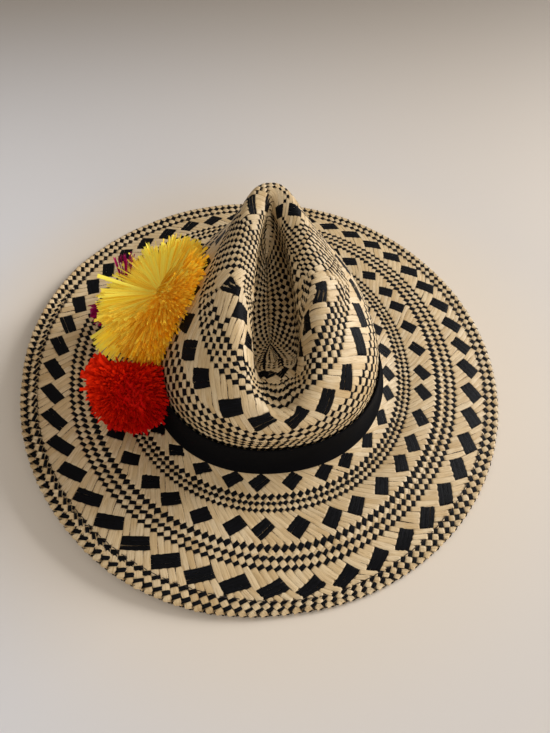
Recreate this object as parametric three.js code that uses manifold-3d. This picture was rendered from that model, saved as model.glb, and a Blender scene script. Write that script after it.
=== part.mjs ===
// Wide-brimmed plaited straw hat with a pinched teardrop crown, a cloth band and three raffia pompoms.
// Millimetres, +Z up. The hat lies on its brim on the plane Z = 0, its pinched front points along +Y,
// and the pompoms are sewn to the left side, -X. The origin is under the middle of the brim.
import * as THREE from 'three';
import { mergeVertices } from 'three/addons/utils/BufferGeometryUtils.js';
import Module from 'manifold-3d';

const wasm = await Module();
wasm.setup();

// Driving dimensions
const STRAW_THICKNESS = 2.0;     // the plaited wall
const HEM_THICKNESS = 3.0;       // the brim's edge, folded under and stitched
const BRIM_LIFT = 13.0;          // how far the brim's left edge stands up from the surface
const LIFT_CENTRE = -12.5;       // degrees from -X towards the rear
const LIFT_REACH = 77.5;         // degrees to each side of that, past which the edge lies flat
const LIFT_FALL = 1.6;           // how fast the lift dies out towards the crown
const BAND_THICKNESS = 1.3;
const CLEARANCE = 0.3;           // gap left between neighbouring pieces
const SEGMENTS = 60;             // points round the hat

// The straw wall's outer face, from the brim's edge, up the crown and down into its long dent.
// Each row is an egg-shaped oval: half its width, how far it reaches to the rear and to the front, how
// square it is, how much narrower its front is, how far it leans to the right for each millimetre
// forwards, and its height at the rear, at the sides and at the front.
const COLUMNS = ['half', 'rear', 'front', 'square', 'pinch', 'lean', 'zRear', 'zSide', 'zFront'];
const SECTION_TABLE = {
  edge: [171, 180, 180, 2.02, 0, 0, 3, 3, 3],
  hem: [162, 171, 171, 2.02, 0, 0, 3, 3, 3],
  outer_ring: [151, 162.5, 163, 2.02, 0, 0, 4.2, 4.2, 4.2],
  middle_ring: [115, 131, 133, 2.05, 0, 0, 6.8, 6.8, 6.8],
  inner_ring: [91, 103, 106, 2.08, 0.03, 0, 8.6, 8.6, 8.6],
  band_foot: [82, 96.5, 98, 2.12, 0.09, 0, 12.3, 12.3, 12.3],
  band_top: [74, 92.5, 91, 2.15, 0.12, 0, 37, 37, 38],
  belly: [69, 94.5, 85, 2.15, 0.16, 0.01, 52, 56, 60],
  shoulder: [52.5, 92, 73, 2.1, 0.36, 0.045, 64, 82, 90],
  crest: [20.5, 87, 60, 2.6, 0.08, 0.055, 68, 97, 113.5],
  lip: [14, 79, 51, 2.2, 0.42, 0.06, 65, 91, 110],
  dent_wall: [9, 66, 45, 2.1, 0.4, 0.06, 56, 68, 88],
  dent_floor: [1, 56, 38, 2, 0, 0.06, 52, 57, 70],
};
const SECTIONS = Object.values(SECTION_TABLE).map(
  (values) => Object.fromEntries(values.map((value, i) => [COLUMNS[i], value])));
const HEM = 1;
const BAND_FOOT = 5;
const BAND_TOP = 6;
const LAST = SECTIONS.length - 1;

// Stations of the modelled rows, counted in sections
const WALL_ROWS = [
  0, HEM, 1.04, 2, 3, 4, 4.5, 5, 5.5, 6, 6.5, 7, 7.5, 8, 8.35, 8.7, 9, 9.3, 9.65, 10, 10.5, 11, 11.5, LAST,
];
const BAND_ROWS = [BAND_FOOT, 5.5, BAND_TOP];

// One pompom each: the tie it radiates from and its reach, the side that lies open and shows the strips
// from the tie outwards, how many degrees wide that opening is on each side, and its locks and colour.
const POMPOMS = {
  pompom_yellow: {
    tie: [-73, 28, 51], reach: 39,
    open: [-0.75, 0.1, 0.65], spread: 42, locks: 36, hue: 0xe8bd26,
  },
  pompom_red: {
    tie: [-93, -41, 38], reach: 29,
    open: [-0.9, 0.25, 0.35], spread: 38, locks: 32, hue: 0xc41c0e,
  },
  pompom_magenta: {
    tie: [-97, 46, 39], reach: 30,
    open: [-0.85, 0.3, 0.4], spread: 38, locks: 32, hue: 0x96104e,
  },
};
const HEAD_SHARE = 0.86;         // the tied head's radius, in reaches
const HEAD_SINK = 0.5;           // how deep the head is dished on its open side, in reaches
const LOCK_WIDTH = 0.5;          // a lock's width and thickness at its cut end, in reaches
const LOCK_DEPTH = 0.22;
const LOCK_ROOT = 0.2;           // a lock's width at the tie, as a share of its width at the end
const GOLDEN_ANGLE = Math.PI * (3 - Math.sqrt(5));

const radians = THREE.MathUtils.degToRad;
const rounded = (value, power) => Math.sign(value) * Math.abs(value) ** power;

// A point of one section; phi is 0 at the rear and pi at the front.
function sectionPoint(row, phi) {
  const c = Math.cos(phi);
  const power = 2 / row.square;
  const y = (row.front - row.rear) / 2 - (row.front + row.rear) / 2 * rounded(c, power);
  const x = row.half * rounded(Math.sin(phi), power) * (1 + row.pinch * c) + row.lean * (y + row.rear);
  const z = row.zSide + (row.zRear - row.zFront) / 2 * c + ((row.zRear + row.zFront) / 2 - row.zSide) * c * c;
  return new THREE.Vector3(x, y, z);
}

// How far the brim stands up at a place, greatest at its left edge and nothing from the band inwards.
function brimLift(x, y, station) {
  const turn = Math.atan2(y, -x) - radians(LIFT_CENTRE);
  const share = Math.min(Math.abs(turn) / radians(LIFT_REACH), 1);
  const outwards = Math.max(1 - station / BAND_FOOT, 0) ** LIFT_FALL;
  return BRIM_LIFT * Math.cos(share * Math.PI / 2) ** 2 * outwards;
}

// The outer face at a station between sections, as a smooth curve through them.
function facePoint(phi, station) {
  const i = Math.min(Math.floor(station), LAST - 1);
  const t = station - i;
  const [before, from, to, after] = [i - 1, i, i + 1, i + 2].map(
    (k) => sectionPoint(SECTIONS[THREE.MathUtils.clamp(k, 0, LAST)], phi));
  const step = to.clone().sub(from);
  const length = step.length();
  const slope = (a, b, c, share) => {
    const first = b.clone().sub(a);
    const second = c.clone().sub(b);
    const [d1, d2] = [first.length(), second.length()];
    return first.multiplyScalar(d2 / d1).add(second.multiplyScalar(d1 / d2)).multiplyScalar(share / (d1 + d2));
  };
  const leaving = i > 0 ? slope(before, from, to, length) : step.clone();
  const arriving = i + 2 <= LAST ? slope(from, to, after, length) : step.clone();
  const point = from.multiplyScalar(2 * t ** 3 - 3 * t ** 2 + 1)
    .addScaledVector(leaving, t ** 3 - 2 * t ** 2 + t)
    .addScaledVector(to, 3 * t ** 2 - 2 * t ** 3)
    .addScaledVector(arriving, t ** 3 - t ** 2);
  point.z += brimLift(point.x, point.y, station);
  return point;
}

// The face's outward normal, from small steps round the hat and along the wall.
function faceNormal(phi, station) {
  const d = 0.01;
  const s = THREE.MathUtils.clamp(station, d, LAST - d);
  const round = facePoint(phi + d, s).sub(facePoint(phi - d, s));
  const along = facePoint(phi, s + d).sub(facePoint(phi, s - d));
  return round.cross(along).normalize();
}

// A point above the face, or under it. The folded hem is measured straight down, so that it lies flat.
function offsetPoint(phi, station, height) {
  const direction = station <= HEM ? new THREE.Vector3(0, 0, 1) : faceNormal(phi, station);
  return facePoint(phi, station).addScaledVector(direction, height);
}

// One ring of points at a station and a height over the face.
function ring(station, height) {
  return Array.from({ length: SEGMENTS }, (_, k) => offsetPoint(2 * Math.PI * k / SEGMENTS, station, height));
}

// A closed solid through rings of equal count. The rings close on themselves, or both ends are shut.
function solidThrough(rings, closedLoop) {
  const index = [];
  const at = (r, k) => r * SEGMENTS + (k + SEGMENTS) % SEGMENTS;
  const joins = closedLoop ? rings.length : rings.length - 1;
  for (let r = 0; r < joins; r++) {
    const next = (r + 1) % rings.length;
    for (let k = 0; k < SEGMENTS; k++) {
      index.push(at(r, k), at(r, k + 1), at(next, k + 1), at(r, k), at(next, k + 1), at(next, k));
    }
  }
  const shut = (r, flip) => {
    for (let k = 0; k < SEGMENTS / 2; k++) {
      const corners = [at(r, k), at(r, k + 1), at(r, -k - 1), at(r, -k)];
      for (const [a, b, c] of [[0, 1, 2], [0, 2, 3]]) {
        const [p, q, s] = [corners[a], corners[b], corners[c]];
        if (p !== q && q !== s && s !== p) index.push(p, flip ? s : q, flip ? q : s);
      }
    }
  };
  if (!closedLoop) {
    shut(0, true);
    shut(rings.length - 1, false);
  }
  const geometry = new THREE.BufferGeometry();
  const numbers = rings.flat().flatMap((p) => p.toArray());
  geometry.setAttribute('position', new THREE.Float32BufferAttribute(numbers, 3));
  geometry.setIndex(index);
  return facingOut(geometry);
}

// The geometry with its faces turned outwards, judged by its signed volume.
function facingOut(geometry) {
  const p = geometry.attributes.position;
  const order = geometry.index.array;
  const [a, b, c] = [new THREE.Vector3(), new THREE.Vector3(), new THREE.Vector3()];
  let volume = 0;
  for (let i = 0; i < order.length; i += 3) {
    a.fromBufferAttribute(p, order[i]);
    b.fromBufferAttribute(p, order[i + 1]);
    c.fromBufferAttribute(p, order[i + 2]);
    volume += a.dot(b.cross(c));
  }
  if (volume < 0) {
    for (let i = 0; i < order.length; i += 3) [order[i + 1], order[i + 2]] = [order[i + 2], order[i + 1]];
  }
  return geometry;
}

function toSolid(geometry) {
  const bare = geometry.clone();
  bare.deleteAttribute('normal');
  bare.deleteAttribute('uv');
  const merged = mergeVertices(bare, 1e-4);
  return new wasm.Manifold(new wasm.Mesh({
    numProp: 3,
    vertProperties: new Float32Array(merged.attributes.position.array),
    triVerts: new Uint32Array(merged.index.array),
  }));
}

function toGeometry(solid) {
  const mesh = solid.getMesh();
  const geometry = new THREE.BufferGeometry();
  geometry.setAttribute('position', new THREE.BufferAttribute(new Float32Array(mesh.vertProperties), 3));
  geometry.setIndex([...mesh.triVerts]);
  return geometry;
}

// Crown and brim are one plaited wall, hollow underneath and open at the bottom.
function strawWall() {
  const thickness = (station) => (station <= HEM ? HEM_THICKNESS : STRAW_THICKNESS);
  const outside = WALL_ROWS.map((s) => ring(s, 0));
  const inside = WALL_ROWS.map((s) => ring(s, -thickness(s)));
  return solidThrough([...outside.reverse(), ...inside], false);
}

// The cloth band is a flared strip wound round the foot of the crown.
function clothBand() {
  const outside = BAND_ROWS.map((s) => ring(s, CLEARANCE + BAND_THICKNESS));
  const inside = BAND_ROWS.map((s) => ring(s, CLEARANCE));
  return solidThrough([...outside, ...inside.reverse()], true);
}

// The room that the hat itself takes, grown by a height: what lies against it is cut back by this.
function hatBlank(height, rows) {
  const floor = ring(rows[0], height).map((p) => new THREE.Vector3(p.x, p.y, -HEM_THICKNESS));
  return toSolid(solidThrough([floor, ...rows.map((s) => ring(s, height))], false));
}

// A flat wedge of raffia from the tie outwards, turned about its own length.
function lock(direction, reach, roll) {
  const shape = new THREE.BoxGeometry(LOCK_WIDTH * reach, LOCK_DEPTH * reach, reach).translate(0, 0, reach / 2);
  const p = shape.attributes.position;
  for (let i = 0; i < p.count; i++) {
    const share = THREE.MathUtils.lerp(LOCK_ROOT, 1, p.getZ(i) / reach);
    p.setXY(i, p.getX(i) * share, p.getY(i) * share);
  }
  const turn = new THREE.Quaternion().setFromUnitVectors(new THREE.Vector3(0, 0, 1), direction);
  return shape.rotateZ(roll).applyQuaternion(turn);
}

// A tied head, dished where it lies open, with locks standing out of it all round.
function pompom({ tie, reach, open, spread, locks }) {
  const axis = new THREE.Vector3(...open).normalize();
  const head = toSolid(new THREE.IcosahedronGeometry(HEAD_SHARE * reach, 2));
  const dish = new THREE.IcosahedronGeometry(HEAD_SHARE * reach, 1);
  const sunk = axis.clone().multiplyScalar((2 * HEAD_SHARE - HEAD_SINK) * reach);
  let solid = head.subtract(toSolid(dish.translate(...sunk.toArray())));
  for (let k = 0; k < locks; k++) {
    const height = 1 - 2 * (k + 0.5) / locks;
    const turn = k * GOLDEN_ANGLE;
    const across = Math.sqrt(1 - height * height);
    const direction = new THREE.Vector3(across * Math.cos(turn), across * Math.sin(turn), height);
    if (direction.angleTo(axis) > radians(spread)) {
      solid = solid.add(toSolid(lock(direction, reach * (0.95 + 0.05 * Math.cos(3 * k)), k)));
    }
  }
  return solid.translate(tie);
}

// Two pompoms press each other flat on the plane where their reaches meet.
function pressed(solid, row, other) {
  const towards = new THREE.Vector3(...other.tie).sub(new THREE.Vector3(...row.tie));
  const apart = towards.length();
  const share = (apart ** 2 + row.reach ** 2 - other.reach ** 2) / (2 * apart) - CLEARANCE / 2;
  towards.divideScalar(apart);
  const limit = towards.dot(new THREE.Vector3(...row.tie)) + share;
  return solid.trimByPlane(towards.negate().toArray(), -limit);
}

// The pompoms lie against the crown, the band, the brim and each other, and overlap none of them.
function pompomSolid(row) {
  const bandOutside = BAND_ROWS.map((s) => ring(s, 2 * CLEARANCE + BAND_THICKNESS));
  const bandInside = BAND_ROWS.map((s) => ring(s, 0)).reverse();
  const bandRoom = toSolid(solidThrough([...bandOutside, ...bandInside], true));
  let solid = pompom(row).subtract(hatBlank(CLEARANCE, WALL_ROWS)).subtract(bandRoom);
  for (const other of Object.values(POMPOMS)) {
    if (other !== row) solid = pressed(solid, row, other);
  }
  const largestFirst = solid.decompose().sort((a, b) => b.volume() - a.volume());
  return toGeometry(largestFirst[0]);
}

function piece(name, geometry, color, roughness) {
  const mesh = new THREE.Mesh(geometry, new THREE.MeshStandardMaterial({ color, roughness, metalness: 0 }));
  mesh.name = name;
  return mesh;
}

const hat = new THREE.Group();
hat.add(piece('straw_body', strawWall(), 0xd8bf90, 0.75));
hat.add(piece('hat_band', clothBand(), 0x08080b, 0.9));
for (const [name, row] of Object.entries(POMPOMS)) {
  hat.add(piece(name, pompomSolid(row), row.hue, 0.6));
}

export default hat;
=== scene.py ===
"""Looks of a plaited straw hat: two families of strands woven strand by strand over the crown and brim, a
folded and stitched edge, a cloth band, and three pompoms of cut raffia strips."""
import math

import bpy
import numpy as np
from mathutils import Matrix, Vector
from mathutils.bvhtree import BVHTree


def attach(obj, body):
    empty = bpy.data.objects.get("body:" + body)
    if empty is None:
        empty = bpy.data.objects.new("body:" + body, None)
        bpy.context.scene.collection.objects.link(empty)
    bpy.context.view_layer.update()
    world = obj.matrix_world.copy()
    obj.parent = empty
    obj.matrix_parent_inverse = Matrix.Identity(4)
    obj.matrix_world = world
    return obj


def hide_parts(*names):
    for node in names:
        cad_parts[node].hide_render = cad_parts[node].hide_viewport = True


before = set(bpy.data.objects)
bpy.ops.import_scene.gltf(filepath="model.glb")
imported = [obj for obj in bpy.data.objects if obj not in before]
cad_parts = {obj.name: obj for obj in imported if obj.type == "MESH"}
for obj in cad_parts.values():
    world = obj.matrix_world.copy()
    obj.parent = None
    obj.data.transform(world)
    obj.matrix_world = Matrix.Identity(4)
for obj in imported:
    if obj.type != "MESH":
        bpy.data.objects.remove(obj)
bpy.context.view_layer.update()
rng = np.random.default_rng(7)

# The straw's outer face: an egg-shaped oval a row, in millimetres, from the brim's edge to the dent's floor.
# Columns: half width, rear reach, front reach, squareness, front pinch, lean, height at rear, sides, front.
FACE = np.array([
    [171, 180, 180, 2.02, 0, 0, 3, 3, 3],
    [162, 171, 171, 2.02, 0, 0, 3, 3, 3],
    [151, 162.5, 163, 2.02, 0, 0, 4.2, 4.2, 4.2],
    [115, 131, 133, 2.05, 0, 0, 6.8, 6.8, 6.8],
    [91, 103, 106, 2.08, 0.03, 0, 8.6, 8.6, 8.6],
    [82, 96.5, 98, 2.12, 0.09, 0, 12.3, 12.3, 12.3],
    [74, 92.5, 91, 2.15, 0.12, 0, 37, 37, 38],
    [69, 94.5, 85, 2.15, 0.16, 0.01, 52, 56, 60],
    [52.5, 92, 73, 2.1, 0.36, 0.045, 64, 82, 90],
    [20.5, 87, 60, 2.6, 0.08, 0.055, 68, 97, 113.5],
    [14, 79, 51, 2.2, 0.42, 0.06, 65, 91, 110],
    [12.5, 51, 46, 2.2, 0.4, 0.06, 61, 61, 82],
    [0.05, 31, 38, 2, 0, 0.06, 56, 56, 70],
])
LAST = len(FACE) - 1
BAND_FOOT, BAND_TOP = 5, 6
HALF_WIDTH, HALF_LENGTH = FACE[0, :2]
# The brim's slow lift: its height, the direction from -X where it is highest, how far round it reaches, and
# how fast it dies out towards the crown
BRIM_LIFT = 13
LIFT_CENTRE, LIFT_REACH = math.radians(-12.5), math.radians(77.5)
LIFT_FALL = 1.6
# The worn edge: how far it stands out from its oval, in millimetres, at each share of a round, counted from the
# rear by way of the right side, and the station up to which that dies out
EDGE_SHARE = [0, 0.08, 0.15, 0.25, 0.33, 0.42, 0.5, 0.55, 0.6, 0.65, 0.7, 0.76, 0.82, 0.9, 0.95, 1]
EDGE_OUT = [-2.8, -3.4, -3.4, -2.4, -2.4, -0.6, 0.6, 3.2, 4.2, 3.8, 0.6, -2.2, -0.8, 1.2, 0, -2.8]
EDGE_FADE = 2.1
MEAN_REACH = 175
# The plait: the radius of its folded edge, how far its middle lies under the face, how far a strand rises and
# dips, how much further a float stands up, how deep an end is tucked in, how long a climb is in crossings, and
# the points of a strand from one crossing to the next
HEM_RADIUS = 0.75
PLAIT_DEPTH = 0.75
STRAND_RISE, FLOAT_RISE, TUCK_DEPTH = 0.36, 0.1, 0.8
CLIMB = 0.34
STEPS = 6

# Zones of the plait, from the brim's edge inwards: strands in a family, black squares in a round, and the
# lattice rows with the distance in from the edge, in millimetres, that each lies at
ZONES = {
    "outer_brim": (184, 46, [(-11.4, -11.1), (-6, 2.9), (-4, 8.5), (-3, 11), (0.5, 18.7), (4, 26.4),
                             (6, 30.6), (8, 35.6), (9.4, 39)]),
    "middle_brim": (178, 38, [(-5.6, 36.4), (-4, 41.4), (-3, 45), (0.5, 52.1), (4, 58.9), (6, 62.7),
                              (8, 66.9), (9.4, 69.8)]),
    "inner_brim": (142, 30, [(-5.6, 67), (-4, 70.8), (-3, 73.2), (0.5, 79.7), (4, 86.3), (6, 90.5), (11, 101)]),
    "crown_side": (84, 20, [(-17.5, 98), (-14, 112), (-4, 153.6), (-3, 156.4), (0.5, 163), (4, 169.4),
                            (9.6, 177)]),
    "crown_top": (76, 0, [(-10.4, 174.2), (-3, 183.7), (0.5, 189), (4, 194.3), (9.8, 204), (11.8, 207.2)]),
    "dent": (44, 0, [(-0.6, 204.8), (0, 206), (20, 246.4)]),
}
# Black squares of the crown's top, which stand alone: share of a round and distance in from the edge
LONE_SQUARES = [
    (0.746, 189), (0.8, 189), (0.855, 189), (0.91, 189), (0.965, 189), (0.992, 189), (0.02, 189), (0.075, 189),
    (0.13, 189), (0.187, 189), (0.243, 189), (0.415, 187), (0.465, 198), (0.517, 198), (0.566, 187),
]
# How far the lattice leans, against the share of a round: with 0 both families cross a ring alike, above 0
# the black strands lie closer to the ring than the natural ones
ROUND = [0, 0.05, 0.15, 0.25, 0.35, 0.5, 0.65, 0.74, 0.8, 0.88, 0.95, 1]
LEAN = {
    "outer_brim": [0.3, 0.14, 0.12, 0.14, 0.16, 0.2, 0.35, 0.43, 0.5, 0.42, 0.36, 0.3],
    "middle_brim": [0, 0, 0, 0, 0, 0.05, 0.08, 0.1, 0.1, 0.15, 0.1, 0],
    "inner_brim": [0, 0, 0, 0, 0, 0, 0.03, 0.05, 0.05, 0.05, 0, 0],
    "crown_side": [0.2, 0.34, 0.45, 0.46, 0.4, 0, -0.15, -0.3, -0.36, -0.28, 0, 0.2],
    "crown_top": [0.2, 0.35, 0.5, 0.6, 0.5, 0, 0, 0, -0.39, -0.36, -0.02, 0.2],
    "dent": [0] * len(ROUND),
}
# Black strands are slimmer at the hem's left: share of a round, its spread, and how much slimmer
SLIM_AT, SLIM_SPREAD, SLIMMER = 0.79, 0.14, 0.2
# Where the outer brim's rows swing towards the edge: share of a round, spread and how far, and how that grows
# and dies out with the distance in
SWINGS = [(0.012, 0.045, 6.3), (0.61, 0.03, 2.5)]
SWING_AT, SWING_SHARE = [0, 18.4, 52.1], [0, 1, 0]
# The crown's rows don't lie level: where the rows drawn at the first list's distances really are, by share
CROWN_ROWS = [112, 141, 156.4, 163, 169.4, 179.4, 189, 207.2, 246.4]
CROWN_COURSE = [
    (0.033, [112, 129, 150, 173, 190, 216, 226, 236, 246.4]),
    (0.087, [112, 139, 158, 170, 178, 195, 215, 224, 246.4]),
    (0.137, [112, 141, 160, 167, 172, 185, 205, 217, 246.4]),
    (0.192, [112, 141, 157, 164, 170, 180, 192.5, 208, 246.4]),
    (0.24, [112, 141, 155, 160, 166, 173, 182, 198, 246.4]),
    (0.28, [112, 141, 152, 157, 162.5, 168.5, 176, 194, 246.4]),
    (0.33, [112, 141, 153, 158, 164, 171, 179, 198, 246.4]),
    (0.42, CROWN_ROWS),
    (0.49, [112, 141, 156.4, 163, 169.4, 180, 191, 212, 246.4]),
    (0.56, CROWN_ROWS),
    (0.62, CROWN_ROWS),
    (0.746, [112, 141, 153, 158, 164, 172, 182.5, 199, 246.4]),
    (0.8, [112, 141, 154.5, 160, 166, 176, 190, 205, 246.4]),
    (0.862, [112, 141, 157, 164, 170, 181, 197, 211, 246.4]),
    (0.922, [112, 137, 154, 168, 178, 194, 212, 222, 246.4]),
    (0.977, [112, 127, 144, 168, 190, 216, 226, 236, 246.4]),
]


def section_point(k, phi):
    """Points of the ovals k at the angles phi, 0 at the rear and pi at the front."""
    half, rear, front, square, pinch, lean, z_rear, z_side, z_front = np.moveaxis(FACE[k], -1, 0)
    c, s = np.cos(phi), np.sin(phi)
    y = (front - rear) / 2 - (front + rear) / 2 * np.sign(c) * np.abs(c) ** (2 / square)
    x = half * np.sign(s) * np.abs(s) ** (2 / square) * (1 + pinch * c) + lean * (y + rear)
    z = z_side + (z_rear - z_front) / 2 * c + ((z_rear + z_front) / 2 - z_side) * c * c
    return np.stack([x, y, z], -1)


def face_point(phi, station):
    """The outer face at stations between the ovals: a smooth curve through them, the worn edge and the lift."""
    i = np.clip(np.floor(station).astype(int), 0, LAST - 1)
    t = (station - i)[..., None]
    p0, p1, p2, p3 = (section_point(np.clip(i + k, 0, LAST), phi) for k in (-1, 0, 1, 2))
    chords = ((p0, p1), (p1, p2), (p2, p3))
    d0, d1, d2 = (np.linalg.norm(b - a, axis=-1, keepdims=True) + 1e-9 for a, b in chords)
    leaving = ((p1 - p0) * d1 / d0 + (p2 - p1) * d0 / d1) * d1 / (d0 + d1)
    arriving = ((p2 - p1) * d2 / d1 + (p3 - p2) * d1 / d2) * d1 / (d1 + d2)
    leaving = np.where((i == 0)[..., None], p2 - p1, leaving)
    arriving = np.where((i == LAST - 1)[..., None], p2 - p1, arriving)
    p = (2 * t**3 - 3 * t**2 + 1) * p1 + (3 * t**2 - 2 * t**3) * p2
    p = p + (t**3 - 2 * t**2 + t) * leaving + (t**3 - t**2) * arriving
    worn = np.interp(np.mod(phi / (2 * math.pi), 1), EDGE_SHARE, EDGE_OUT)
    worn = worn * np.clip(1 - station / EDGE_FADE, 0, 1)
    p[..., :2] *= 1 + worn[..., None] / MEAN_REACH
    turn = np.abs(np.arctan2(p[..., 1], -p[..., 0]) - LIFT_CENTRE) / LIFT_REACH
    lift = BRIM_LIFT * np.cos(np.minimum(turn, 1) * math.pi / 2) ** 2
    p[..., 2] += lift * np.maximum(1 - station / BAND_FOOT, 0) ** LIFT_FALL
    return p


# Tables that turn a share of a round into an angle, and a distance in from the edge into a station
PER_STATION = 40
ROUND_STEPS = 1440
STATIONS = np.linspace(0, LAST, LAST * PER_STATION + 1)
ANGLES = np.linspace(0, 2 * math.pi, ROUND_STEPS + 1)
SHARES = np.linspace(0, 1, ROUND_STEPS + 1)
survey = face_point(*np.meshgrid(ANGLES, STATIONS))
arcs = np.cumsum(np.linalg.norm(np.diff(survey, axis=1), axis=-1), 1)
arcs = np.concatenate([np.zeros((len(STATIONS), 1)), arcs], 1)
ANGLE_OF_SHARE = np.stack([np.interp(SHARES, row / row[-1], ANGLES) for row in arcs])
climb = np.linalg.norm(np.diff(survey[:, ::PER_STATION], axis=0), axis=-1).mean(1)
DISTANCE_IN = np.concatenate([[0], np.cumsum(climb)])


def unit(v):
    return v / (np.linalg.norm(v, axis=-1, keepdims=True) + 1e-12)


def smooth_step(x):
    x = np.clip(x, 0, 1)
    return x * x * (3 - 2 * x)


def face_normal(phi, station):
    """The direction in which the outer face looks, from small steps round the hat and along the straw."""
    d = 0.01
    station = np.clip(station, d, LAST - d)
    round_hat = face_point(phi + d, station) - face_point(phi - d, station)
    along_straw = face_point(phi, station + d) - face_point(phi, station - d)
    return unit(np.cross(round_hat, along_straw))


def angle_at(share, station):
    """The angle at a share of the way round, counted along the straw from the middle of the rear."""
    u = np.mod(share, 1) * ROUND_STEPS
    v = np.clip(station, 0, LAST) * PER_STATION
    i, j = np.minimum(v.astype(int), len(STATIONS) - 2), np.minimum(u.astype(int), ROUND_STEPS - 1)
    fv, fu = v - i, u - j
    table = ANGLE_OF_SHARE
    low = table[i, j] * (1 - fu) + table[i, j + 1] * fu
    high = table[i + 1, j] * (1 - fu) + table[i + 1, j + 1] * fu
    return low * (1 - fv) + high * fv


def on_course(share, inwards):
    """The distance in from the edge that a crown row really has at a share of a round."""
    share = np.mod(share, 1)
    (first, first_rows), (last, last_rows) = CROWN_COURSE[0], CROWN_COURSE[-1]
    columns = [(last - 1, last_rows), *CROWN_COURSE, (first + 1, first_rows)]
    moved = np.zeros(np.broadcast(share, inwards).shape)
    for (before, rows_before), (after, rows_after) in zip(columns, columns[1:]):
        here = (share >= before) & (share < after)
        t = (share - before) / (after - before)
        t = np.clip(t * 0.75 + smooth_step(t) * 0.25, 0, 1)
        low, high = (np.interp(inwards, CROWN_ROWS, rows) for rows in (rows_before, rows_after))
        moved = np.where(here, low * (1 - t) + high * t, moved)
    return np.where(inwards > CROWN_ROWS[0], moved, inwards)


def straw_frame(share, inwards):
    """Middle of the plait and its outward normal at a share of a round and a distance in from the edge.
    A distance below nothing runs round the folded edge and back in under the brim."""
    swing = 0
    for place, spread, far in SWINGS:
        swing = swing + far * np.exp(-(((np.mod(share - place + 0.5, 1) - 0.5) / spread) ** 2))
    swing = swing * np.interp(inwards, SWING_AT, SWING_SHARE)
    station = np.interp(on_course(share, inwards) - swing, DISTANCE_IN, STATIONS)
    phi = angle_at(share, station)
    point = face_point(phi, station)
    up = np.array([0, 0, 1.0])
    off_hem = np.clip((station - 0.6) / 0.5, 0, 1)[..., None]
    normal = unit(face_normal(phi, station) * off_hem + up * (1 - off_hem))
    middle = point - normal * PLAIT_DEPTH
    outward = unit(point * np.array([1 / HALF_WIDTH**2, 1 / HALF_LENGTH**2, 0]))
    bend = np.clip(-inwards / HEM_RADIUS, 0, math.pi)[..., None]
    back = np.maximum(-inwards - math.pi * HEM_RADIUS, 0)[..., None]
    fold = middle + outward * (np.sin(bend) * HEM_RADIUS - back) - up * HEM_RADIUS * (1 - np.cos(bend))
    fold_normal = outward * np.sin(bend) + up * np.cos(bend)
    folded = (inwards < 0)[..., None]
    return np.where(folded, fold, middle), np.where(folded, fold_normal, normal)


def black_on_top(zone, i, j):
    """Whether the black strand j lies over the natural strand i where they cross."""
    count, squares, rows = ZONES[zone]
    h = i - j
    over = h % 2 == 0
    if squares:
        starts = np.round(np.arange(squares) * count / squares).astype(int)
        turns = np.floor_divide(i, count)
        first = i - turns * count
        number = np.searchsorted(starts, first, "right") - 1
        start = starts[number] + turns * count
        square = (i - start < 4) & (j - start >= 0) & (j - start < 3)
        return np.where((h > -4) & (h < 6), square, over)
    square = np.zeros(np.shape(over), bool)
    row_numbers, distances = zip(*rows)
    for share, inwards in LONE_SQUARES if zone == "crown_top" else []:
        row = 2 * round(np.interp(inwards, distances, row_numbers) / 2)
        middle = round(share * count)
        across = np.abs(np.mod(i + 0.5 - (middle + row / 2) + count / 2, count) - count / 2)
        along = np.abs(np.mod(j + 1.0 - (middle - row / 2) + count / 2, count) - count / 2)
        square = square | ((across < 2) & (along < 1.6))
        halo = ((across < 2) & (along < 4.6)) | ((along < 1.6) & (across < 5))
        over = over & ~(halo & (np.abs(h - row) < 5))
    return over | square


def mesh_piece(name, points, faces, material, maps=None, tones=None, smooth=True):
    """One mesh from arrays, in millimetres, with its strand map and its tones a vertex."""
    mesh = bpy.data.meshes.new(name)
    mesh.vertices.add(len(points))
    mesh.vertices.foreach_set("co", (np.asarray(points) / 1000).astype(np.float32).ravel())
    faces = np.asarray(faces, np.int32)
    mesh.loops.add(faces.size)
    mesh.loops.foreach_set("vertex_index", faces.ravel())
    mesh.polygons.add(len(faces))
    mesh.polygons.foreach_set("loop_start", np.arange(0, faces.size, faces.shape[1], dtype=np.int32))
    mesh.polygons.foreach_set("use_smooth", np.full(len(faces), smooth))
    if maps is not None:
        layer = mesh.uv_layers.new(name="strand")
        layer.data.foreach_set("uv", np.asarray(maps, np.float32)[faces.ravel()].ravel())
    for label, values in (tones or {}).items():
        attribute = mesh.attributes.new(label, "FLOAT", "POINT")
        attribute.data.foreach_set("value", np.asarray(values, np.float32))
    mesh.update(calc_edges=True)
    mesh.validate()
    mesh.materials.append(material)
    piece = bpy.data.objects.new(name, mesh)
    bpy.context.scene.collection.objects.link(piece)
    return piece


def grid_faces(strips, rows, columns):
    """Quads of many strips, each a grid of points."""
    r, c = np.meshgrid(np.arange(rows - 1), np.arange(columns - 1), indexing="ij")
    corner = (r * columns + c).ravel()
    quad = np.stack([corner, corner + 1, corner + columns + 1, corner + columns], -1)
    return (quad[None] + (np.arange(strips) * rows * columns)[:, None, None]).reshape(-1, 4)


def strand_width(zone, natural, h, share, over_here, float_here):
    """A family's strand widths as shares of the room they have, wider on top and widest where they float."""
    if natural:
        return 0.88 + 0.1 * over_here + 0.04 * float_here
    width = 0.83 + 0.27 * float_here
    if zone == "outer_brim":
        at_left_hem = np.clip((-2.5 - h) / 1.5, 0, 1) * np.exp(-(((share - SLIM_AT) / SLIM_SPREAD) ** 2))
        width = width * (1 - SLIMMER * at_left_hem)
    return width


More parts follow.
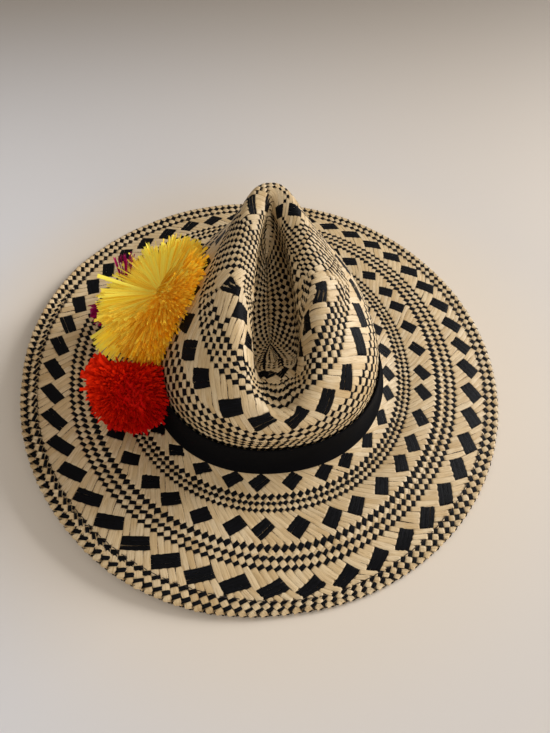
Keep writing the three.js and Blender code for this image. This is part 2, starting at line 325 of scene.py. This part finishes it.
def strands(zone, natural):
    """Every strand of one family in a zone: a ribbon that rises over and dips under those it crosses."""
    count, squares, rows = ZONES[zone]
    row_numbers, distances = zip(*rows)
    first, last = row_numbers[0], row_numbers[-1]
    h = np.arange(math.ceil(first * STEPS), math.floor(last * STEPS) + 1) / STEPS
    index = np.arange(count)[:, None]
    middle = (index + 0.5 + (-h if natural else h) / 2) / count
    share = middle + np.interp(np.mod(middle, 1), ROUND, LEAN[zone]) * h / (2 * count)
    wobble = rng.normal(0, 0.035, (count, 1)) + 0.04 * np.sin(h * 0.9 + rng.uniform(0, 6.28, (count, 1)))
    inwards = np.broadcast_to(np.interp(h, row_numbers, distances), share.shape)
    middle, normal = straw_frame(share + wobble / count, inwards)

    # Over or under at the crossing behind and at the one ahead of each point
    n = np.floor(h).astype(int)
    f = h - n
    crossing = np.arange(n.min() - 1, n.max() + 3)
    if natural:
        over = ~black_on_top(zone, index, index - crossing)
    else:
        over = black_on_top(zone, index + crossing, index)
    at = n - crossing[0]
    here, ahead = over[:, at], over[:, at + 1]
    turn = 0.44 if natural else 0.47
    rise = np.where(here & ~ahead, smooth_step((1 - f - turn + CLIMB / 2) / CLIMB), 0.0)
    rise = np.where(~here & ahead, smooth_step((f - turn + CLIMB / 2) / CLIMB), rise)
    rise = np.where(here & ahead, 1.0, rise)
    floats = over & (np.roll(over, 1, 1) | np.roll(over, -1, 1))
    float_here = floats[:, at] * (1 - f) + floats[:, at + 1] * f
    over_here = over[:, at] * (1 - f) + over[:, at + 1] * f
    width = strand_width(zone, natural, h, share, over_here, float_here)
    width = width * (1 + rng.normal(0, 0.05, (count, 1)))
    tuck = np.ones(len(h))
    if zone != "outer_brim":
        tuck = tuck * smooth_step((h - first) / 1.2)
    if zone != "dent":
        tuck = tuck * smooth_step((last - h) / 1.2)
    lift = (2 * rise - 1) * STRAND_RISE + FLOAT_RISE * rise * float_here - TUCK_DEPTH * (1 - tuck)

    # Three lines of points a strand: one edge, the slightly arched middle, the other edge
    along = unit(np.gradient(middle, axis=1))
    sideways = unit(np.cross(normal, along))
    step = np.roll(middle, -1, 0) - middle
    spacing = np.abs((step * sideways).sum(-1))
    reach = (spacing * width / 2)[..., None]
    arch = np.minimum(spacing * 0.055, 0.2)[..., None]
    lines = []
    for u in (-1, 0, 1):
        lines.append(middle + sideways * reach * u + normal * (lift[..., None] + arch * (0.5 - 1.5 * u * u)))
    points = np.stack(lines, 2).reshape(-1, 3)
    passed = np.cumsum(np.linalg.norm(np.diff(middle, axis=1), axis=-1), 1)
    far = np.concatenate([np.zeros((count, 1)), passed], 1) + rng.uniform(0, 400, (count, 1))
    across = np.broadcast_to(np.array([0, 0.5, 1.0]), far.shape + (3,))
    maps = np.stack([across, np.broadcast_to(far[..., None], far.shape + (3,))], -1).reshape(-1, 2)
    tone = np.clip(rng.normal(0.5, 0.2, (count, 1)), 0, 1)
    tone = np.broadcast_to(tone[..., None], far.shape + (3,)).ravel()
    return points, grid_faces(count, len(h), 3), maps, {"tone": tone}


class Value:
    """One output of a node tree. Sums on it add their Math nodes."""

    def __init__(self, paint, socket):
        self.paint, self.socket = paint, socket

    def _math(self, operation, *values):
        return self.paint.node("ShaderNodeMath", {"operation": operation}, *values)

    def __add__(self, other):
        return self._math("ADD", self, other)

    def __sub__(self, other):
        return self._math("SUBTRACT", self, other)

    def __rsub__(self, other):
        return self._math("SUBTRACT", other, self)

    def __mul__(self, other):
        return self._math("MULTIPLY", self, other)

    def __pow__(self, other):
        return self._math("POWER", self, other)

    def absolute(self):
        return self._math("ABSOLUTE", self)

    def part(self):
        return self._math("FRACT", self)

    __radd__ = __add__
    __rmul__ = __mul__


class Paint:
    """A material and the one way its nodes are added."""

    def __init__(self, name, **constants):
        self.material = bpy.data.materials.new(name)
        self.material.use_nodes = True
        self.tree = self.material.node_tree
        self.shader = self.tree.nodes["Principled BSDF"]
        for socket, value in constants.items():
            self.shader.inputs[socket.replace("_", " ")].default_value = value

    def node(self, kind, settings, *values, out=0, **named):
        """One output of a new node. Its settings come first, then its sockets by place or by name."""
        node = self.tree.nodes.new(kind)
        for key, value in settings.items():
            setattr(node, key, value)
        for key, value in [*enumerate(values), *named.items()]:
            if isinstance(value, Value):
                self.tree.links.new(value.socket, node.inputs[key])
            elif value is not None:
                node.inputs[key].default_value = value
        return Value(self, node.outputs[out])

    def mix(self, amount, first, second):
        """Two colours mixed by an amount. The colours' sockets come after five for numbers and vectors."""
        settings = {"data_type": "RGBA", "clamp_factor": True}
        unused = [None] * 5
        return self.node("ShaderNodeMix", settings, amount, *unused, first, second, out=2)

    def between(self, value, low, high):
        """A value stretched so that low becomes 0 and high becomes 1, held inside them."""
        settings = {"interpolation_type": "SMOOTHSTEP"}
        return self.node("ShaderNodeMapRange", settings, value, low, high, 0.0, 1.0)

    def noise(self, vector, detail=2.0, roughness=0.5):
        sockets = {"Vector": vector, "Scale": 1.0, "Detail": detail, "Roughness": roughness}
        return self.node("ShaderNodeTexNoise", {}, **sockets)

    def strand_map(self):
        """How far across a strand, from 0 to 1, and how far along it, in millimetres."""
        whole = self.node("ShaderNodeUVMap", {"uv_map": "strand"})
        return (self.node("ShaderNodeSeparateXYZ", {}, whole, out=k) for k in (0, 1))

    def tone(self, name="tone"):
        return self.node("ShaderNodeAttribute", {"attribute_name": name}, out=2)

    def place(self, x, y, z=0.0):
        return self.node("ShaderNodeCombineXYZ", {}, x, y, z)

    def finish(self, color, roughness=None, bump=None, strength=0.5, distance=0.0003, glow=None):
        """The material, once what varies over its surface is linked to the shader."""
        normal = None
        if bump is not None:
            normal = self.node("ShaderNodeBump", {}, Strength=strength, Distance=distance, Height=bump)
        links = {"Base Color": color, "Roughness": roughness, "Normal": normal, "Emission Color": glow}
        for name, value in links.items():
            if value is not None:
                self.tree.links.new(value.socket, self.shader.inputs[name])
        return self.material


def natural_straw():
    """Split leaf: pale gold, streaked along its length, each strand its own shade, with the odd brown fleck,
    and painted shade along its edges, where the strands meet.
    """
    paint = Paint("natural straw", Specular_IOR_Level=0.5)
    across, along = paint.strand_map()
    tone = paint.tone()
    streaks = paint.noise(paint.place(across * 7 + tone * 90, along * 0.09, tone * 31), 3.0, 0.65)
    fibres = paint.noise(paint.place(across * 22 + tone * 40, along * 0.16, tone * 17), 2.0, 0.6)
    blotch = paint.noise(paint.place(along * 0.045, tone * 60))
    gold = paint.mix(paint.between(tone, 0.1, 0.95), (0.76, 0.57, 0.32, 1), (0.60, 0.42, 0.205, 1))
    gold = paint.mix(paint.between(blotch, 0.42, 0.66) * 0.5, gold, (0.80, 0.66, 0.44, 1))
    gold = paint.mix(paint.between(streaks, 0.46, 0.72) * 0.7, gold, (0.42, 0.25, 0.09, 1))
    gold = paint.mix(paint.between(fibres, 0.60, 0.72) * 0.55, gold, (0.25, 0.135, 0.05, 1))
    # Painted shade: each strand darkens towards its edges, where it meets the next
    painted_gap_shade = ((across - 0.5).absolute() * 2) ** 9
    gold = paint.mix(painted_gap_shade * 0.55, gold, (0.2, 0.105, 0.04, 1))
    return paint.finish(gold, 0.36 + streaks * 0.3, streaks * 0.6 + fibres * 0.5, 0.6, 0.0003)


def black_straw():
    """The same leaf dyed black, a little bluish, with paler threads where the light catches its fibres."""
    paint = Paint("black straw", Specular_IOR_Level=0.1)
    across, along = paint.strand_map()
    tone = paint.tone()
    threads = paint.noise(paint.place(across * 12 + tone * 90, along * 0.1, tone * 31), 3.0, 0.6)
    light = paint.between(threads, 0.5, 0.74)
    black = paint.mix(light, (0.0012, 0.0012, 0.0018, 1), (0.006, 0.0065, 0.011, 1))
    return paint.finish(black, 0.42 + threads * 0.25, threads, 0.8, 0.0004)


def band_twill():
    """Close black twill."""
    paint = Paint("band cloth", Specular_IOR_Level=0.12, Roughness=0.95)
    across, along = paint.strand_map()
    rib = ((across * 26 + along * 0.9).part() - 0.5).absolute() * 2
    slub = paint.noise(paint.place(across * 3, along * 0.12), 3.0)
    black = paint.mix(rib * 0.6 + slub * 0.2, (0.0008, 0.0008, 0.0012, 1), (0.0028, 0.0028, 0.004, 1))
    return paint.finish(black, None, rib + slub * 0.6, 0.35, 0.0003)


def raffia(name, glow, painted_shade_dye, painted_light_dye, edge):
    """Dyed strips, with painted light and shade: the deeper dye where they are crowded and turned from the
    light, the paler where the light gets in. The strips are thin, and the light that would come through them is
    painted as a faint glow of their own colour, dimmed where shade is painted."""
    paint = Paint(name, Specular_IOR_Level=0.06, Emission_Strength=glow)
    across, along = paint.strand_map()
    tone, painted_light = paint.tone(), paint.tone("painted_light")
    streaks = paint.noise(paint.place(across * 6 + tone * 80, along * 0.12, tone * 9), 3.0, 0.6)
    # Painted light and shade: the dye runs from the shaded one to the lit one with the painted light, varied a
    # little by each strip's tone
    dye_and_painted_light = paint.mix(painted_light + (tone - 0.5) * 0.55, painted_shade_dye, painted_light_dye)
    dye_and_painted_light = paint.mix(paint.between(streaks, 0.5, 0.78) * 0.55, dye_and_painted_light, edge)
    # Painted light: a glow of the strip's own colour, dimmed where shade is painted
    painted_glow = paint.mix(painted_light, (0.0, 0.0, 0.0, 1), dye_and_painted_light)
    return paint.finish(dye_and_painted_light, 0.42 + streaks * 0.25, streaks, 0.5, 0.0002, glow=painted_glow)


straw_light, straw_dark = natural_straw(), black_straw()
plait = []
for zone in ZONES:
    for natural, finish in ((True, straw_light), (False, straw_dark)):
        points, faces, maps, tones = strands(zone, natural)
        name = f"{zone}_{'natural' if natural else 'black'}_strands"
        piece = mesh_piece(name, points, faces, finish, maps, tones)
        plait.append(piece)

# Running stitch: how many in a round, how far in from the edge, the part of its step that shows, the thread's
# radius and sides, and the heights of a stitch's points over the middle of the plait
STITCHES = 148
STITCH_IN = 9.6
STITCH_SHOWS = 0.62
THREAD_RADIUS, THREAD_SIDES = 0.24, 6
STITCH_RISE = [0.2, 0.95, 1.1, 0.95, 0.2]


def running_stitch():
    """The stitches that hold the folded edge, each a short tube that comes out of the straw and goes back."""
    dashes = []
    turn = np.arange(THREAD_SIDES) * 2 * math.pi / THREAD_SIDES
    for share in np.arange(0, 1, 1 / STITCHES):
        shows = np.linspace(0, STITCH_SHOWS / STITCHES, len(STITCH_RISE))
        along_round = share + shows + rng.normal(0, 0.03 / STITCHES)
        middle, normal = straw_frame(along_round, np.full(len(STITCH_RISE), STITCH_IN + rng.normal(0, 0.12)))
        line = middle + normal * np.array(STITCH_RISE)[:, None]
        along = unit(np.gradient(line, axis=0))
        side = unit(np.cross(normal, along))
        top = np.cross(along, side)
        out = np.cos(turn)[:, None] * side[:, None] + np.sin(turn)[:, None] * top[:, None]
        tube = line[:, None] + THREAD_RADIUS * out
        dashes.append(np.concatenate([tube, tube[:, :1]], 1))
    faces = grid_faces(len(dashes), len(STITCH_RISE), THREAD_SIDES + 1)
    thread = Paint("hem thread", Roughness=0.8, Base_Color=(0.035, 0.022, 0.014, 1)).material
    return mesh_piece("hem_stitches", np.array(dashes).reshape(-1, 3), faces, thread)


stitches = running_stitch()

# The band's outer side, off the crown's face, in millimetres, its points in a round and its length
BAND_OUT = 1.62
BAND_STEPS = 480
BAND_LENGTH = 560


def cloth_band():
    """The band round the foot of the crown: a flat strip with rounded edges and slight ripples."""
    profile = [(0.02, 0.35), (0.0, 0.7), (0.0, 1.2), (0.02, 1.5), (0.06, BAND_OUT)]
    profile += [(v, BAND_OUT) for v in np.linspace(0.12, 0.88, 14)]
    profile += [(0.94, BAND_OUT), (0.98, 1.5), (1.0, 1.2), (1.0, 0.7), (0.98, 0.35)]
    up, out = np.array(profile).T
    share = np.linspace(0, 1, BAND_STEPS + 1)[:, None]
    station = np.broadcast_to(BAND_FOOT + up * (BAND_TOP - BAND_FOOT), (BAND_STEPS + 1, len(up)))
    phi = angle_at(np.broadcast_to(share, station.shape), station)
    turn = share * 2 * math.pi
    ripple = 0.16 * np.sin(turn * 23 + 2 * np.sin(turn * 5)) * np.sin(up * math.pi)
    points = face_point(phi, station) + face_normal(phi, station) * (out + ripple)[..., None]
    maps = np.stack(np.broadcast_arrays(up, share * BAND_LENGTH), -1)
    faces = grid_faces(1, BAND_STEPS + 1, len(up))
    return mesh_piece("cloth_band", points.reshape(-1, 3), faces, band_twill(), maps.reshape(-1, 2))


band = cloth_band()
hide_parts("hat_band")

# Pompoms: tie, reach, open side, half angle of the opening, strips all round, strips of the open fan, the side
# towards which light is painted, the strength of the painted glow, and the dye painted in shade where it is
# crowded, the dye painted in light where the light gets in, and the dye in the streaks
POMPOMS = {
    "yellow": ((-69, 26, 52), 43, (-0.48, 0.19, 0.86), 62, 6000, 620, (-0.65, 0.5, 0.57), 0.13,
               (1.0, 0.48, 0.002, 1), (0.97, 0.83, 0.11, 1), (0.93, 0.58, 0.01, 1)),
    "red": ((-93, -41, 38), 29, (-0.8, 0.5, 0.3), 2, 4600, 0, (-0.6, 0.5, 0.6), 0.03,
            (0.54, 0.001, 0.001, 1), (0.90, 0.03, 0.003, 1), (0.40, 0.001, 0.001, 1)),
    "magenta": ((-95, 40, 36), 24, (-0.85, 0.3, 0.4), 46, 1500, 120, (-0.6, 0.3, 0.4), 0.05,
                (0.24, 0.003, 0.05, 1), (0.44, 0.012, 0.13, 1), (0.18, 0.003, 0.04, 1)),
}
# How far strips pass the wall between two pompoms, in millimetres, and how much further where one presses into
# the next. Where one is pressed flat: direction from its tie and how far from it. The side on which one is
# thinner, and by how much. The share of its reach that a half hidden one keeps
PAST_THE_WALL = 1.5
PRESSED = {("yellow", "red"): 16, ("red", "yellow"): -9}
FLATTENED = {"red": ((0.1, 0.75, 0.65), 15)}
THINNER = {"red": ((-0.93, -0.36, 0.0), 0.2)}
SHORTER = {"magenta": 0.62}
# Longer strips on one side of a pompom: direction, spread in degrees, number, length, and whether they lie flat
BUNCHES = {
    "yellow": [((0.582, -0.292, 0.759), 9, 170, 54, False), ((0.501, -0.495, 0.71), 9, 190, 55, False),
               ((0.411, -0.652, 0.637), 10, 220, 57, False), ((0.28, -0.809, 0.516), 10, 240, 58, False),
               ((0.129, -0.936, 0.327), 11, 260, 60, False), ((-0.02, -0.97, 0.1), 12, 260, 58, False),
               ((-0.16, -0.95, -0.1), 14, 240, 56, False), ((-0.4, -0.85, 0.0), 14, 150, 50, False),
               ((-0.793, -0.583, -0.172), 10, 90, 57, True), ((-0.984, -0.162, 0.025), 14, 60, 46, True)],
    "red": [((-0.72, 0.258, 0.643), 14, 150, 31, True)],
    "magenta": [((-0.91, -0.411, -0.024), 14, 70, 31, True), ((-0.03, 0.70, 0.66), 9, 26, 33, True)],
}
# Points along a strip and across it, and the rows and columns of a heart
STRIP_ROWS, STRIP_COLUMNS = 5, 3
HEART_ROWS, HEART_COLUMNS = 41, 81
HEART_SHARE = 0.84
HEART_FLOOR = 2.5
# How far off the hat a strip lies that meets it, the most of it that lies along it, and the steps that takes
OFF_HAT = 1.5
LONGEST_LYING = 34
LYING_STEPS, LYING_STEP = 4, 0.23
LEAST_FACING = 0.05

hat_mesh = [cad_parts[n].data for n in ("straw_body", "hat_band")]
hat_points = [1000 * v.co for m in hat_mesh for v in m.vertices]
offsets = (0, len(hat_mesh[0].vertices))
hat_polygons = [[v + o for v in p.vertices] for m, o in zip(hat_mesh, offsets) for p in m.polygons]
hat_tree = BVHTree.FromPolygons(hat_points, hat_polygons)


def cut_by_plane(heading, length, way, far):
    """Strip lengths cut short at a plane that stands square to a direction, so far from the tie."""
    facing = heading @ way
    return np.where(facing > LEAST_FACING, np.minimum(length, far / np.maximum(facing, LEAST_FACING)), length)


def free_length(name, heading, length):
    """Strip lengths cut short where they would meet the next pompom."""
    tie, reach = np.array(POMPOMS[name][0], float), POMPOMS[name][1]
    if name in THINNER:
        side, less = THINNER[name]
        length = length * (1 - less * np.clip(heading @ unit(np.array(side)), 0, 1))
    if name in FLATTENED:
        way, far = FLATTENED[name]
        length = cut_by_plane(heading, length, unit(np.array(way)), far)
    for other in POMPOMS:
        if other != name:
            apart = np.array(POMPOMS[other][0], float) - tie
            gap = np.linalg.norm(apart)
            wall = (gap**2 + reach**2 - POMPOMS[other][1] ** 2) / (2 * gap)
            wall = wall + PAST_THE_WALL + PRESSED.get((name, other), 0)
            length = cut_by_plane(heading, length, apart / gap, wall)
    return length


def along_hat(tie, heading, length):
    """Where each strip bends and where it ends. One that meets the hat turns there and lies along it."""
    bends, ends = tie + heading * length[:, None] / 2, tie + heading * length[:, None]
    for n, way in enumerate(heading):
        hit, slope, _, far = hat_tree.ray_cast(Vector(tie), Vector(way), float(length[n]))
        if hit is None:
            continue
        hit, slope = np.array(hit), np.array(slope)
        slope = slope if slope @ way < 0 else -slope
        flat = unit(way - slope * (way @ slope))
        left = min(length[n] - far, LONGEST_LYING)
        end = hit + slope * OFF_HAT
        for _ in range(LYING_STEPS):
            end = end + flat * left * LYING_STEP
            near, out = (np.array(v) for v in hat_tree.find_nearest(Vector(end))[:2])
            if (end - near) @ out < OFF_HAT:
                end = near + out * OFF_HAT
            flat = unit(flat - out * (flat @ out))
        bends[n], ends[n] = hit + slope * (OFF_HAT + 0.3 * left), end
    return bends, ends


def pompom_heart(name, tie, reach, open_side, spread):
    """The crowded inside of a pompom, a closed lumpy form that keeps light from passing between its strips."""
    rises, turns = np.linspace(0.02, math.pi - 0.02, HEART_ROWS), np.linspace(0, 2 * math.pi, HEART_COLUMNS)
    rise, turn = (v.ravel() for v in np.meshgrid(rises, turns, indexing="ij"))
    heading = np.stack([np.sin(rise) * np.cos(turn), np.sin(rise) * np.sin(turn), np.cos(rise)], -1)
    length = free_length(name, heading, np.full(len(heading), float(reach))) * HEART_SHARE
    for n, way in enumerate(heading):
        hit, _, _, far = hat_tree.ray_cast(Vector(tie), Vector(way), float(length[n]))
        if hit is not None:
            length[n] = max(far - 0.5, HEART_FLOOR)
    inside = np.clip((heading @ open_side - math.cos(math.radians(spread + 12))) / 0.16, 0, 1)
    length = length * (1 - inside) + HEART_FLOOR * inside
    return tie + heading * (length * rng.normal(1, 0.012, len(length)))[:, None]


def strip_headings(name, open_side, spread, count, fan):
    """Directions of a pompom's strips: those all round, those of the open fan, and each longer bunch's."""
    k = np.arange(count * 2)
    height = 1 - 2 * (k + 0.5) / len(k)
    turn = k * math.pi * (3 - math.sqrt(5))
    across = np.sqrt(1 - height**2)
    brush = np.stack([across * np.cos(turn), across * np.sin(turn), height], -1)
    brush = unit(brush + rng.normal(0, 0.035, brush.shape))
    brush = brush[(brush @ open_side) < math.cos(math.radians(spread))]
    brush = brush[rng.permutation(len(brush))[:count]]
    first = unit(np.cross(open_side, [0.3, 0.2, 1.0]))
    second = np.cross(open_side, first)
    turn = np.sort(rng.uniform(0, 2 * math.pi, fan))[:, None]
    slope = np.radians(spread + rng.uniform(-4, 14, (fan, 1)))
    rays = np.cos(slope) * open_side + np.sin(slope) * (np.cos(turn) * first + np.sin(turn) * second)
    loose = []
    for way, wide, number, *_ in BUNCHES[name]:
        loose.append(unit(unit(np.array(way)) + rng.normal(0, math.radians(wide) / 1.6, (number, 3))))
    return brush, rays, loose


def pompom(name):
    """Cut strips that radiate from a tie to a round surface, but for an open side where they lie as a fan."""
    tie, reach, open_side, spread, count, fan, painted_light_side, glow, *painted_shade_light_streak_dyes = POMPOMS[name]
    tie, open_side, painted_light_side = np.array(tie, float), unit(np.array(open_side)), unit(np.array(painted_light_side))
    brush, rays, loose = strip_headings(name, open_side, spread, count, fan)
    heading = np.concatenate([brush, rays, *loose])
    count, own = len(heading), len(brush) + len(rays)

    # Lengths, and which strips lie flat
    flat = np.arange(count) >= len(brush)
    length = reach * np.where(flat, rng.uniform(0.78, 0.83, count), rng.normal(0.975, 0.018, count))
    length[:own] *= SHORTER.get(name, 1)
    at = own
    for _, _, number, long, lies_flat in BUNCHES[name]:
        length[at:at + number] = long * rng.uniform(0.9, 1, number)
        flat[at:at + number] = lies_flat
        at += number
    length[:own] = free_length(name, heading[:own], length[:own])
    bends, ends = (v[:, None] for v in along_hat(tie, heading, length))
    heart = pompom_heart(name, tie, reach, open_side, spread)

    # The middle line of each strip, from the tie past its bend to its cut end
    one, flat, length = (count, 1, 1), flat[:, None, None], length[:, None, None]
    t = np.linspace(0, 1, STRIP_ROWS)[None, :, None]
    sag = rng.normal(0, 1, (count, 1, 3)) * np.where(flat, 0.03, 0.05) * length
    sag = sag + np.array([0, 0, -0.03]) * length - np.where(flat, 0.06, 0.0) * open_side * length
    root = rng.normal(0, 0.7, (count, 1, 3))
    line = root + tie * (1 - t) ** 2 + bends * 2 * t * (1 - t) + ends * t * t + sag * t * t

    # Its two edges and its crease, and the slanted cut
    heading = heading[:, None]
    roll = np.where(flat, open_side + rng.normal(0, 0.22, (count, 1, 3)), rng.normal(0, 1, (count, 1, 3)))
    side = unit(np.cross(heading, roll))
    lift = np.cross(side, heading)
    width = np.where(flat, rng.uniform(1.8, 3.2, one), rng.uniform(1.0, 1.9, one)) * (0.25 + 0.75 * t**0.6)
    crease = np.where(flat, rng.uniform(-0.12, 0.2, one), rng.uniform(0.2, 0.6, one)) * width
    skewed = rng.normal(0, 0.5, one) * (t > 0.99) * heading
    aside = side * width / 2 + skewed
    points = np.stack([line - aside, line + lift * crease, line + aside], 2)

    maps = np.stack(np.broadcast_arrays(np.array([0, 0.5, 1.0]), t * length + rng.uniform(0, 90, one)), -1)
    tone = np.broadcast_to(rng.uniform(0, 1, one), points.shape[:3])
    # Painted light and shade: a strip is painted lighter the more it points to the lit side and towards its cut
    # end, and darker near the tie where the strips are crowded; the strips that lie flat are painted lit
    painted_light = np.clip(0.55 + 0.6 * (heading @ painted_light_side)[..., None], 0, 1) * (0.4 + 0.6 * t)
    painted_light = np.broadcast_to(np.where(flat, 0.75 + 0.25 * t, painted_light), points.shape[:3])
    faces = grid_faces(count, STRIP_ROWS, STRIP_COLUMNS)
    heart_faces = grid_faces(1, HEART_ROWS, HEART_COLUMNS) + count * STRIP_ROWS * STRIP_COLUMNS
    maps = np.concatenate([maps.reshape(-1, 2), heart[:, :2]])
    # The heart is painted in deep shade and gets almost no painted glow
    tones = {
        "tone": np.concatenate([tone.ravel(), rng.uniform(0, 1, len(heart))]),
        "painted_light": np.concatenate([painted_light.ravel(), np.full(len(heart), 0.12)]),
    }
    points, faces = np.concatenate([points.reshape(-1, 3), heart]), np.concatenate([faces, heart_faces])
    piece = mesh_piece(f"{name}_pompom", points, faces, raffia(f"{name} raffia", glow, *painted_shade_light_streak_dyes), maps, tones)
    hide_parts(f"pompom_{name}")
    return piece


pompoms = [pompom(name) for name in POMPOMS]
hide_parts("straw_body")
for piece in [*plait, stitches, band, *pompoms]:
    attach(piece, "root")

# The table is a square that reaches so far from its middle, so far below the hat, in millimetres
TABLE_REACH, TABLE_BELOW = 3000, 0.2


def table_paint():
    """Pale, with painted light: a bluish tint to the left and a warmer one to the right, a little warmer round
    the hat where painted light thrown back by the straw fills its shadow, and painted shade falling off towards
    its far side.
    """
    paint = Paint("pale table", Roughness=0.6)
    place = paint.node("ShaderNodeTexCoord", {}, out=3)
    sideways, far = (paint.node("ShaderNodeSeparateXYZ", {}, place, out=k) for k in (0, 1))
    # Painted light: a bluish tint to the left, a warmer one to the right
    pale = paint.mix(paint.between(sideways, -0.35, 0.35), (0.75, 0.745, 0.765, 1), (0.72, 0.655, 0.585, 1))
    # Painted light thrown back by the straw: a warm tint round the hat, in its shadow
    from_hat = (sideways * sideways + far * far) ** 0.5
    pale = paint.mix(paint.between(from_hat, 0.16, 0.27), (0.80, 0.70, 0.58, 1), pale)
    # Painted shade: the far side falls off into dark
    return paint.finish(paint.mix(paint.between(far, 0.12, 0.75), pale, (0.285, 0.245, 0.205, 1)))


corners = [(x * TABLE_REACH, y * TABLE_REACH, -TABLE_BELOW) for x, y in ((-1, -1), (1, -1), (1, 1), (-1, 1))]
floor = mesh_piece("floor", corners, [[0, 1, 2, 3]], table_paint(), smooth=False)


def lamp(name, place, size, power, color):
    """A soft square light that faces the hat."""
    data = bpy.data.lights.new(name, "AREA")
    data.size, data.energy, data.color = size, power, color
    light = bpy.data.objects.new(name, data)
    light.location = place
    light.rotation_euler = (Vector((0, 0, 0.04)) - Vector(place)).to_track_quat("-Z", "Y").to_euler()
    bpy.context.scene.collection.objects.link(light)


lamp("window", (3.05, 1.1, 1.5), 1.7, 128, (0.99, 0.99, 1.0))
lamp("sky", (-2.0, 1.5, 4.0), 3.5, 26, (0.9, 0.94, 1.0))
lamp("room", (1.1, -3.3, 1.6), 2.4, 58, (1.0, 0.98, 0.95))
world = bpy.data.worlds.new("studio")
world.use_nodes = True
world.node_tree.nodes["Background"].inputs["Color"].default_value = (1.0, 0.88, 0.74, 1)
world.node_tree.nodes["Background"].inputs["Strength"].default_value = 0.25
bpy.context.scene.world = world
bpy.context.scene.view_settings.view_transform = "Standard"

# Camera at the photograph's angle: its directions, the point that it looks at and how far off it is, in metres,
# and the photograph's height and focal length in pixels
AZIMUTH, ELEVATION, ROLL = (math.radians(v) for v in (-8.39, 53.8, 2.58))
LOOKED_AT, CAMERA_AWAY = (0.0072, -0.0045, 0), 0.431
PHOTO_HEIGHT, FOCAL_LENGTH = 733, 580
SENSOR = 36
flat_away = Vector((math.sin(AZIMUTH), -math.cos(AZIMUTH), 0))
back = flat_away * math.cos(ELEVATION) + Vector((0, 0, math.sin(ELEVATION)))
right = Vector((math.cos(AZIMUTH), math.sin(AZIMUTH), 0))
up = back.cross(right)
level = right * math.cos(ROLL) + up * math.sin(ROLL)
upright = up * math.cos(ROLL) - right * math.sin(ROLL)
lens = bpy.data.cameras.new("camera")
lens.sensor_width, lens.lens = SENSOR, FOCAL_LENGTH / PHOTO_HEIGHT * SENSOR
lens.clip_start = 0.01
camera = bpy.data.objects.new("camera", lens)
turned = np.eye(4)
turned[:3, :3] = np.array([level, upright, back]).T
turned[:3, 3] = np.array(LOOKED_AT) + np.array(back) * CAMERA_AWAY
camera.matrix_world = Matrix(turned.tolist())
bpy.context.scene.collection.objects.link(camera)
bpy.context.scene.camera = camera
